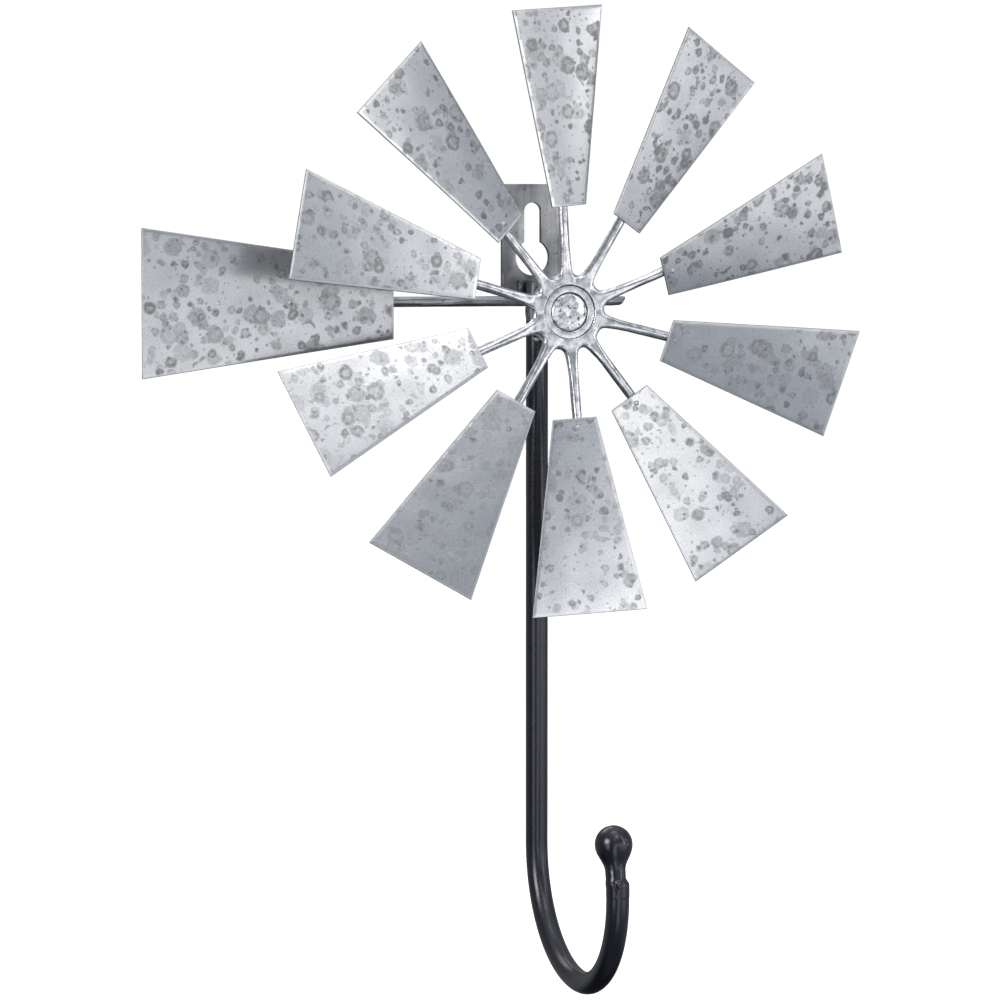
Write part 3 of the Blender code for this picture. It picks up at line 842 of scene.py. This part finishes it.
def turned(name, profile, closed, shape=None):
    """A mesh turned about the pin's axis from (radius, y) points in mm; shape may move the points."""
    turns = np.arange(TURNED_SIDES) * math.tau / TURNED_SIDES
    rows = []
    for radius, y in profile:
        ring = [radius * np.cos(turns), np.full(TURNED_SIDES, y), radius * np.sin(turns)]
        rows.append(np.stack(ring, axis=-1))
    points = np.concatenate(rows)
    if shape:
        points = shape(points)
    faces = ring_faces(len(profile), TURNED_SIDES, closed)
    mesh = new_mesh(name, (points * MM + np.array(AXIS_POINT)).tolist(), faces)
    tidy(mesh)
    return mesh


def tidy(mesh):
    """Merge the points that lie together and turn all faces outward."""
    bm = bmesh.new()
    bm.from_mesh(mesh)
    bmesh.ops.remove_doubles(bm, verts=bm.verts, dist=0.002 * MM)
    bmesh.ops.recalc_face_normals(bm, faces=bm.faces)
    bm.to_mesh(mesh)
    bm.free()


def ring_shape(node):
    """Outer radius, front and back of a turned CAD piece, in mm from the axis point."""
    low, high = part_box(node)
    return (high[0] - low[0]) / 2 / MM, (low[1] - AXIS_POINT.y) / MM, (high[1] - AXIS_POINT.y) / MM


AXLE_BORE = 3.3
BUSH_RECESS_RADIUS = 5.65
BUSH_RECESS = 2.0
BUSH_FLANGE = 2.6
BUSH_SLEEVE_RADIUS = 4.6
BUSH_CLEARANCE = 0.07


def add_bush(metal):
    """The flanged bush: its flat ring face shows round the pin."""
    radius, face, back = ring_shape("hub_bush")
    radius -= BUSH_CLEARANCE
    floor, flange_back = face + BUSH_RECESS, face + BUSH_FLANGE
    profile = [(BUSH_RECESS_RADIUS, face), (radius, face), (radius, flange_back),
               (BUSH_SLEEVE_RADIUS, flange_back), (BUSH_SLEEVE_RADIUS, back), (AXLE_BORE, back),
               (AXLE_BORE, floor), (BUSH_RECESS_RADIUS, floor)]

    def uneven(points):
        points[:, 1] += 0.012 * lumps(points, 2.6, seed=8)
        return points

    mesh = turned("bush", soften(profile, 0.22), True, uneven)
    add_piece("hub_bush_ring", mesh, WHEEL_BODY, metal, ("hub_bush",))


PIN_SHANK_RADIUS = 3.0
PIN_HEAD_THICKNESS = 1.4
PIN_DOME = 0.7
PIN_DOME_RINGS = 26


def add_pin(metal):
    """The headed axle pin, its head hammered over and uneven."""
    radius, front, back = ring_shape("axle_pin")
    edge = front + PIN_DOME
    head_back = edge + PIN_HEAD_THICKNESS
    profile = [(0.0, back), (PIN_SHANK_RADIUS, back), (PIN_SHANK_RADIUS, head_back),
               (radius, head_back), (radius, edge)]
    profile = soften(profile, 0.2, closed=False)
    for i in range(1, PIN_DOME_RINGS + 1):
        share = i / PIN_DOME_RINGS
        profile.append((radius * (1 - share), edge - PIN_DOME * (1 - (1 - share) ** 4) ** 0.5))

    def hammered(points):
        r = np.hypot(points[:, 0], points[:, 2])
        on_head = np.clip((edge + 0.1 - points[:, 1]) / 0.3, 0, 1) * np.clip((radius - r) / 0.8, 0, 1)
        dents = 0.03 * lumps(points, 1.7, seed=21) + 0.1 * lumps(points, 3.6, seed=5)
        points[:, 1] += on_head * (dents + 0.12)
        return points

    mesh = turned("pin", profile, False, hammered)
    add_piece("axle_pin_head", mesh, FRAME_BODY, metal, ("axle_pin",))


def add_boss_and_washer(boss_metal, washer_metal):
    for node, name, rounding, metal in (("axle_boss", "axle_boss_collar", 0.6, boss_metal),
                                        ("thrust_washer", "washer_disc", 0.25, washer_metal)):
        radius, front, back = ring_shape(node)
        profile = [(AXLE_BORE, front), (radius, front), (radius, back), (AXLE_BORE, back)]
        mesh = turned(node, soften(profile, rounding), True)
        add_piece(name, mesh, FRAME_BODY, metal, (node,))


NUGGET_LIP_RADIUS = 0.62
NUGGET_PIP_RADIUS = 0.26
NUGGET_BASE_RADIUS = 0.72
NUGGET_FILLET = 0.18
NUGGET_REACH = 1.6


def from_line(points, axis):
    """How far points are from a line through the origin."""
    return np.linalg.norm(points - (points @ axis)[:, None] * axis, axis=-1)


def add_spot_welds(metal):
    """Each nugget: a small crater with a raised lip and a pip in the middle."""
    nodes = [(f"blade_spot_weld_{n:02d}", f"blade_{n:02d}", WHEEL_BODY) for n in range(1, BLADES + 1)]
    nodes += [(f"tail_spot_weld_{n}", "tail_vane", FRAME_BODY) for n in (1, 2, 3)]
    for seed, (node, panel, body) in enumerate(nodes):
        centre = box_centre(node)
        outward = centre - AXIS_POINT if body == WHEEL_BODY else VANE_OUTWARD
        _, normal, _ = panel_corners(panel, outward)

        def field(points, seed=seed, axis=np.array(normal)):
            height = points @ axis
            r = from_line(points, axis) + 0.08 * lumps(points, 1.3, seed=seed)
            lip = np.hypot(r - NUGGET_LIP_RADIUS, (height - 0.06) * 1.2) - 0.15
            pip = np.sqrt((r / 1.5) ** 2 + (height - 0.12) ** 2) - NUGGET_PIP_RADIUS
            base = np.maximum(r - NUGGET_BASE_RADIUS, np.abs(height + 0.06) - 0.18)
            return blend_union(blend_union(lip, pip, NUGGET_FILLET), base, NUGGET_FILLET)

        mesh = surface_net(node, field, (-NUGGET_REACH,) * 3, (NUGGET_REACH,) * 3, 0.1)
        points = vertex_places(mesh)
        # Painted shade: dark in the crater round the pip, more on the side towards the axis
        off_pip = np.clip((from_line(points, np.array(normal)) - 0.36) / 0.2, 0, 1)
        shaded_side = np.clip(0.5 - 0.5 * points @ np.array(outward.normalized()), 0, 1)
        store(mesh, "painted_shade", "FLOAT", 0.8 * off_pip * shaded_side)
        mesh.transform(Matrix.Translation(centre))
        add_piece(node + "_nugget", mesh, body, metal, (node,), sharp_angle=180.0)


# ---- post, hook, plate and tail rod

BACK_BEND_RADIUS = 35.6
BACK_BEND_STEPS = 40
FRONT_BEND_STEPS = 36
BAR_SIDES = 48


def arc_points(x, z, radius, start, end, steps):
    """Points of an arc round the centre (x, z), from one angle to another in degrees."""
    turns = np.radians(np.linspace(start, end, steps + 1))
    return [(x + radius * math.cos(a), z + radius * math.sin(a)) for a in turns]


def hook_path():
    """The bar's centreline as (y, z) in mm, down the post, round both bends and up, and its radius."""
    low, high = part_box("hook_rod")
    radius = (high[0] - low[0]) / 2 / MM
    back, front = high[1] / MM - radius, low[1] / MM + radius
    bottom = low[2] / MM + radius
    front_bend = (back - front) - BACK_BEND_RADIUS
    top = high[2] / MM
    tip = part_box("hook_ball_end")[0][2] / MM
    path = [(back, z) for z in np.arange(top, bottom + BACK_BEND_RADIUS, -2.5)]
    path += arc_points(back - BACK_BEND_RADIUS, bottom + BACK_BEND_RADIUS, BACK_BEND_RADIUS, 0, -90,
                       BACK_BEND_STEPS)
    path += arc_points(front + front_bend, bottom + front_bend, front_bend, -90, -180,
                       FRONT_BEND_STEPS)[1:]
    path += [(front, z) for z in np.linspace(bottom + front_bend, tip - 0.3, 4)[1:]]
    return np.array(path), radius


def add_hook(paint):
    """The bent bar, with a worn-soft top edge and hardly visible unevenness."""
    path, radius = hook_path()
    forward = np.gradient(path, axis=0)
    forward /= np.linalg.norm(forward, axis=1)[:, None]
    normals = np.stack([-forward[:, 1], forward[:, 0]], axis=-1)
    rounded_end = [(0.0, 0.0), (0.75, 0.0), (0.93, 0.12), (1.0, 0.45)]
    rings = [(path[0] + forward[0] * drop, normals[0], radius * share) for share, drop in rounded_end]
    rings += [(place, normal, radius) for place, normal in zip(path[1:], normals[1:])]
    rings.append((path[-1], normals[-1], 0.0))
    points = []
    for (y, z), (ny, nz), size in rings:
        for i in range(BAR_SIDES):
            a = math.tau * i / BAR_SIDES
            bumpy = size * (1 + 0.004 * noise.noise(Vector((3 * math.cos(a), y / 9, z / 9))))
            out = bumpy * math.sin(a)
            points.append((bumpy * math.cos(a), y + out * ny, z + out * nz))
    mesh = new_mesh("hook_bar", (np.array(points) * MM).tolist(), ring_faces(len(rings), BAR_SIDES))
    tidy(mesh)
    add_piece("hook_bar", mesh, FRAME_BODY, paint, ("hook_rod",))


BALL_RADIUS = 5.3
CREASE_SIDE = np.array([-0.35, -0.94, 0.0])  # the side of the neck that the crease is on
CREASE_DEPTH = 3.2


def capsule(points, start, end, start_radius, end_radius):
    """Distance to a straight bar with round ends that may taper."""
    start, end = np.array(start, float), np.array(end, float)
    span = end - start
    share = np.clip((points - start) @ span / (span @ span), 0, 1)
    gap = np.linalg.norm(points - start - share[:, None] * span, axis=1)
    return gap - (start_radius + (end_radius - start_radius) * share)


def add_ball(paint):
    """The ball on its neck, with a shoulder where it joins the bar and a crease in the paint."""
    low, high = box_mm("hook_ball_end")
    path, radius = hook_path()
    tip_y = path[-1][0]
    base = low[2]
    ball = np.array([0.0, high[1] - BALL_RADIUS, high[2] - BALL_RADIUS + 0.3])
    stem = np.array([-0.3, tip_y + 0.5, base + 1.2])
    crease_top = stem + CREASE_DEPTH * CREASE_SIDE + (-0.6, 0, 0.6)
    crease_foot = stem + (CREASE_DEPTH + 0.4) * CREASE_SIDE + (1.0, 0, -4.2)
    dent_centre = stem + CREASE_DEPTH * CREASE_SIDE + (-1.7, 0, 0.9)

    def field(points):
        sphere = np.linalg.norm(points - ball, axis=1) - BALL_RADIUS
        neck = capsule(points, stem, ball, 2.85, 3.0)
        solid = blend_union(sphere, neck, 3.0)
        sleeve = np.hypot(points[:, 0], points[:, 1] - tip_y) - radius - 0.05
        collar = blend_common(sleeve, np.abs(points[:, 2] - base + 1.2) - 3.0, 1.5)
        solid = blend_union(solid, collar, 0.7)
        crease = capsule(points, crease_top, crease_foot, 0.45, 0.3)
        dent = np.linalg.norm(points - dent_centre, axis=1) - 1.0
        solid = blend_common(solid, -np.minimum(crease, dent), 0.5)
        return solid - 0.014 * lumps(points, 5.0, seed=12)

    bounds_low = (-BALL_RADIUS - 1, low[1] - 1.5, base - 5)
    bounds_high = (BALL_RADIUS + 1, high[1] + 1.5, high[2] + 1)
    mesh = surface_net("ball_end", field, bounds_low, bounds_high, 0.25)
    add_piece("hook_ball", mesh, FRAME_BODY, paint, ("hook_ball_end",), sharp_angle=180.0)


def soot_near(mesh, centre, full, none):
    """How sooty each vertex is by its distance, in mm, from a point in the wall plane."""
    points = vertex_places(mesh)
    away = np.hypot(points[:, 0] - centre[0], points[:, 2] - centre[1])
    return 0.75 * np.clip((none - away) / (none - full), 0, 1)


KEYHOLE_SLOT_RADIUS = 2.6
KEYHOLE_ROUND_RADIUS = 5.2
KEYHOLE_DROP = 13.5
PLATE_CORNER = 0.8
PLATE_EDGE = 0.18


def add_plate(metal):
    """The wall plate with its keyhole, all edges slightly rounded by the press."""
    low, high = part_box("wall_plate")
    right, bottom, top = high[0] / MM, low[2] / MM, high[2] / MM
    thickness = (high[1] - low[1]) / MM
    inner_x, c = right - PLATE_CORNER, PLATE_CORNER
    outline = []
    for x, z, start in ((inner_x, top - c, 0), (-inner_x, top - c, 90), (-inner_x, bottom + c, 180),
                        (inner_x, bottom + c, 270)):
        outline += arc_points(x, z, c, start, start + 90, 6)
    meeting = math.degrees(math.acos(KEYHOLE_SLOT_RADIUS / KEYHOLE_ROUND_RADIUS))
    keyhole = arc_points(0, 0, KEYHOLE_SLOT_RADIUS, 0, 180, 32)
    keyhole += arc_points(0, -KEYHOLE_DROP, KEYHOLE_ROUND_RADIUS, 180 - meeting, 360 + meeting, 72)
    curve = bpy.data.curves.new("plate", "CURVE")
    curve.dimensions = "2D"
    curve.fill_mode = "BOTH"
    curve.extrude = (thickness / 2 - PLATE_EDGE) * MM
    curve.bevel_depth = PLATE_EDGE * MM
    curve.bevel_resolution = 2
    curve.offset = -PLATE_EDGE * MM
    for loop in (outline, keyhole):
        spline = curve.splines.new("POLY")
        spline.points.add(len(loop) - 1)
        for point, (x, z) in zip(spline.points, loop):
            point.co = (x * MM, z * MM, 0, 1)
        spline.use_cyclic_u = True
    holder = add_object("plate_curve", curve)
    mesh = bpy.data.meshes.new_from_object(holder.evaluated_get(bpy.context.evaluated_depsgraph_get()))
    bpy.data.objects.remove(holder)
    middle = (low[1] + high[1]) / 2
    mesh.transform(Matrix.Translation((0, middle, 0)) @ Matrix.Rotation(math.radians(90), 4, "X"))
    tidy(mesh)
    # Side walls, darkened in the material: partly dark cut steel, partly painted shade
    sides = 1 - np.abs(vertex_normals(mesh)[:, 1])
    store(mesh, "cut_edge_and_shade", "FLOAT", sides)
    store(mesh, "soot", "FLOAT", soot_near(mesh, (-3.0, bottom), 5.0, 13.0))
    add_piece("keyhole_plate", mesh, FRAME_BODY, metal, ("wall_plate",))


def add_tail_rod(metal):
    """The tail's bar: drawn round bar, its right end nipped off at a slant."""
    low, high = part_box("tail_rod")
    radius = (high[2] - low[2]) / 2 / MM
    y, z = (low[1] + high[1]) / 2 / MM, (low[2] + high[2]) / 2 / MM
    left, right = low[0] / MM, high[0] / MM

    def field(points):
        x = points[:, 0]
        nip = np.clip((x - right + 4.0) / 4.0, 0, 1)
        wide, flat = 1 + 0.1 * nip, 1 - 0.22 * nip
        across = np.hypot((points[:, 1] - y) / wide, (points[:, 2] - z) / flat) - radius
        slanted = x - right + 0.9 + 0.6 * (z - points[:, 2])
        ends = np.maximum(left - x, slanted)
        return blend_common(across, ends, 0.35) + 0.02 * lumps(points * (0.25, 1, 1), 2.4, seed=31)

    mesh = surface_net("tail_bar", field, (left - 1, y - radius - 1, z - radius - 1),
                       (right + 1, y + radius + 1, z + radius + 1), 0.3)
    add_piece("tail_bar", mesh, FRAME_BODY, metal, ("tail_rod",), sharp_angle=180.0)


def bead_field(points, start, end, radius, seed):
    """A weld bead: overlapping round puddles along a line."""
    start, end = np.array(start, float), np.array(end, float)
    count = max(2, int(np.linalg.norm(end - start) / (0.75 * radius)))
    rng = np.random.default_rng(seed)
    total = None
    for share in np.linspace(0, 1, count):
        centre = start + share * (end - start) + rng.normal(scale=0.1 * radius, size=3)
        puddle = np.linalg.norm(points - centre, axis=1) - radius * rng.uniform(0.85, 1.12)
        total = puddle if total is None else blend_union(total, puddle, 0.35)
    return total - 0.06 * lumps(points, 1.4, seed=seed + 50)


def add_weld(node, lines, metal):
    """Beads in place of a plain CAD weld; lines are (start, end, radius) in mm."""
    def field(points):
        total = None
        for number, (start, end, radius) in enumerate(lines):
            bead = bead_field(points, start, end, radius, seed=len(node) + number)
            total = bead if total is None else blend_union(total, bead, 0.4)
        return total

    ends = np.array([point for start, end, _ in lines for point in (start, end)])
    margin = max(radius for *_, radius in lines) * 1.4 + 0.6
    mesh = surface_net(node, field, ends.min(axis=0) - margin, ends.max(axis=0) + margin, 0.25)
    add_piece(node + "_bead", mesh, FRAME_BODY, metal, (node,), sharp_angle=180.0)


def add_welds(dull_metal, bright_metal):
    for node, side, metal in (("plate_weld_left", -1, dull_metal),
                              ("plate_weld_right", 1, bright_metal)):
        low, high = box_mm(node)
        x = low[0] if side > 0 else high[0]
        line = (x + 0.3 * side, high[1] - 0.35)
        add_weld(node, [((*line, low[2] + 1), (*line, high[2] - 1), 1.05)], metal)
    low, high = box_mm("boss_weld")
    depth = (low[1] + high[1]) / 2
    rows = [((low[0] + 1.6, depth, z), (high[0] - 1.6, depth, z), 1.65)
            for z in np.arange(low[2] + 1.6, high[2] - 1.2, 2.2)]
    run_down = (high[1] - 0.9, low[2] - 0.6)
    rows.append(((low[0] + 1.4, *run_down), (high[0] - 2.2, *run_down), 1.4))
    add_weld("boss_weld", rows, bright_metal)
    low, high = box_mm("tail_rod_weld")
    line = ((low + high) / 2)[1:]
    add_weld("tail_rod_weld", [((low[0] + 1, *line), (high[0] - 1, *line), 1.2)], dull_metal)


# ---- everything together

def build():
    add_camera()
    add_lights()
    add_world()
    add_floor()
    sheet_metal = galvanised("galvanised_sheet", (0.83, 0.835, 0.85), 0.22)
    casting_metal = cast_zinc()
    beads = weld_metal("weld_beads", (0.07, 0.07, 0.075), (0.3, 0.3, 0.31))
    bright_beads = weld_metal("bright_beads", (0.06, 0.06, 0.065), (0.8, 0.8, 0.8))
    boss_scale = weld_metal("boss_scale", (0.03, 0.03, 0.035), (0.42, 0.42, 0.43))
    nuggets = weld_metal("weld_nuggets", (0.6, 0.6, 0.61), (0.95, 0.95, 0.95))
    plate_metal = bare_steel("dull_plate", (0.34, 0.35, 0.37), (0.6, 0.595, 0.59), "Z", 0.3)
    bar_metal = bare_steel("dull_bar", (0.46, 0.47, 0.49), (0.66, 0.66, 0.67), "X", 0.8)
    post_paint = black_paint("satin_black", AXIS_POINT.z / MM - BARE_BELOW_AXIS, 0.24)
    ball_paint = black_paint("gloss_black", 100.0, 0.2)
    add_sheets(sheet_metal)
    add_spot_welds(nuggets)
    add_casting(casting_metal)
    add_bush(casting_metal)
    add_pin(hammered_zinc())
    add_boss_and_washer(boss_scale, casting_metal)
    add_plate(plate_metal)
    add_tail_rod(bar_metal)
    add_welds(beads, bright_beads)
    add_hook(post_paint)
    add_ball(ball_paint)


bpy.context.scene.view_settings.view_transform = "Standard"
build()
